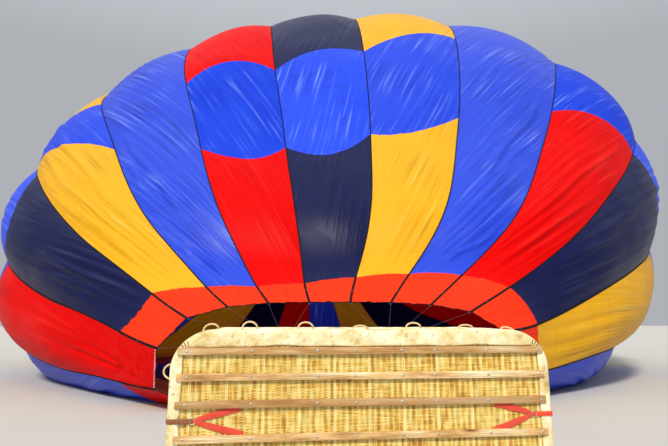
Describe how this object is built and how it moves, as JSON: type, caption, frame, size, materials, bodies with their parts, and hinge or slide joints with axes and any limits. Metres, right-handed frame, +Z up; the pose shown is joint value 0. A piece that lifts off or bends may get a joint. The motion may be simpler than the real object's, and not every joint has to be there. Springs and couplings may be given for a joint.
{
  "type": "hot air balloon laid out for inflation",
  "caption": "Hot air balloon on its side: wicker basket with burners and a half filled envelope of striped gores.",
  "frame": {"origin": "on the ground, below the middle of the whole object's box", "axes": "+Z up, +Y from the basket's underside towards the crown of the envelope, +X along the basket's long side"},
  "size_m": [22.194, 23.8526, 13.8428],
  "materials": {
    "navy_fabric": "coated ripstop nylon, near black blue",
    "yellow_fabric": "coated ripstop nylon, golden yellow",
    "blue_fabric": "coated ripstop nylon, strong blue",
    "red_fabric": "coated ripstop nylon, red",
    "orange_fabric": "heat resistant fabric, orange red",
    "black_tape": "woven polyester load tape",
    "wicker": "woven willow and cane, pale yellow",
    "rawhide": "cream hide over padding",
    "pine": "worn pine, grey at the ends",
    "red_webbing": "woven webbing with a leather end",
    "frame_steel": "brushed stainless steel",
    "burner_steel": "stainless steel, heat stained",
    "wire_steel": "stranded stainless wire",
    "tank_metal": "brushed aluminium in a jacket",
    "pole_padding": "padded black cover"
  },
  "bodies": {
    "root": {"gore_01": "navy_fabric", "gore_02": "yellow_fabric", "gore_03": "blue_fabric", "gore_04": "red_fabric", "gore_05": "navy_fabric", "gore_06": "yellow_fabric", "gore_07": "blue_fabric", "gore_08": "red_fabric", "gore_09": "navy_fabric", "gore_10": "yellow_fabric", "gore_11": "blue_fabric", "gore_12": "red_fabric", "gore_13": "navy_fabric", "gore_14": "yellow_fabric", "gore_15": "blue_fabric", "gore_16": "red_fabric", "gore_17": "navy_fabric", "gore_18": "yellow_fabric", "gore_19": "blue_fabric", "gore_20": "red_fabric", "mouth_band": "orange_fabric", "crown_lines": "black_tape", "basket_floor": "wicker", "basket_wall": "wicker", "base_band": "rawhide", "rim_roll": "rawhide", "partition_left": "wicker", "partition_right": "wicker", "strap_left": "red_webbing", "strap_right": "red_webbing", "load_frame": "frame_steel", "wires_upper_left": "wire_steel", "wires_upper_right": "wire_steel", "wires_lower_right": "wire_steel", "wires_lower_left": "wire_steel", "skid_1": "pine", "skid_2": "pine", "skid_3": "pine", "skid_4": "pine", "skid_5": "pine", "skid_6": "pine", "tank_1": "tank_metal", "upright_1": "pole_padding", "tank_2": "tank_metal", "upright_2": "pole_padding", "tank_3": "tank_metal", "upright_3": "pole_padding", "tank_4": "tank_metal", "upright_4": "pole_padding"},
    "vent": {"parachute_vent": "navy_fabric"},
    "gimbal": {"gimbal": "frame_steel"},
    "burners": {"burner_block": "frame_steel", "burner_left": "burner_steel", "burner_right": "burner_steel"}
  },
  "joints": [
    {"name": "gimbal_tilt", "type": "hinge", "parent": "root", "child": "gimbal", "pos_m": [-1.684, -9.7763, 0.725], "axis": [1, 0, 0], "range_deg": [-15, 15]},
    {"name": "burner_swing", "type": "hinge", "parent": "gimbal", "child": "burners", "pos_m": [-1.684, -9.7763, 0.725], "axis": [0, 0, 1], "range_deg": [-15, 15]},
    {"name": "vent_slide", "type": "slide", "parent": "root", "child": "vent", "axis": [-0.1132, -0.9936, 0], "range_m": [0, 1.2]}
  ]
}
